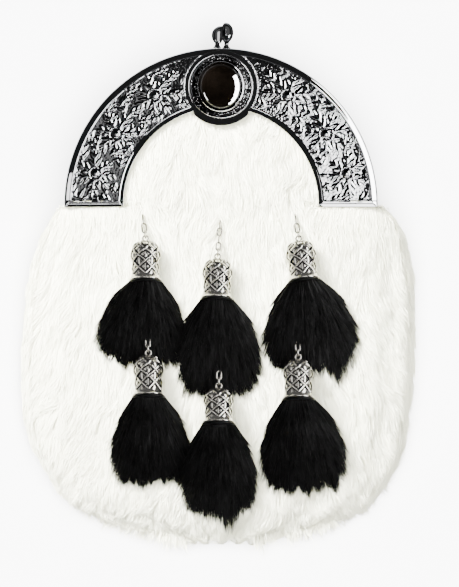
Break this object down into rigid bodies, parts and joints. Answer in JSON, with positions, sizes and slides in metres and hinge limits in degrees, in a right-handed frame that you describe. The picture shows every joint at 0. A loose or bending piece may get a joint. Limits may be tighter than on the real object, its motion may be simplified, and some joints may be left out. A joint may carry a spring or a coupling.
{
  "type": "sporran pouch",
  "caption": "Dress sporran: a white fur pouch under a cast half-ring cantle with a black stone, a kiss-lock clasp and black fur tassels in bell cones.",
  "frame": {"origin": "middle of the footprint on the ground, the sporran lying on its back", "axes": "+X to the wearer's left seen from the front, +Y up towards the clasp, +Z out of the front of the sporran"},
  "size_m": [0.1965, 0.265, 0.0537],
  "materials": {
    "polished_silver": "polished silver plate, dark in its sunk ground",
    "antique_silver": "cast silver plate with blackened recesses",
    "black_stone": "highly polished black stone",
    "leather": "black grained leather",
    "white_fur": "long soft white fur",
    "black_fur": "dense black fur"
  },
  "bodies": {
    "root": {"cantle": "polished_silver", "stone": "black_stone", "clasp_front": "polished_silver", "clasp_back": "polished_silver", "back_frame": "polished_silver", "hinge_left": "polished_silver", "hinge_right": "polished_silver", "front_panel": "leather", "back_panel": "leather", "gusset": "leather", "fur_pelt": "white_fur", "belt_loop_left": "leather", "belt_loop_right": "leather", "tassel_cone_1": "antique_silver", "tassel_fur_1": "black_fur", "tassel_chain_1": "antique_silver", "tassel_cone_2": "antique_silver", "tassel_fur_2": "black_fur", "tassel_chain_2": "antique_silver", "tassel_cone_3": "antique_silver", "tassel_fur_3": "black_fur", "tassel_chain_3": "antique_silver", "tassel_cone_4": "antique_silver", "tassel_fur_4": "black_fur", "tassel_chain_4": "antique_silver", "tassel_cone_5": "antique_silver", "tassel_fur_5": "black_fur", "tassel_chain_5": "antique_silver", "tassel_cone_6": "antique_silver", "tassel_fur_6": "black_fur", "tassel_chain_6": "antique_silver"}
  },
  "joints": []
}
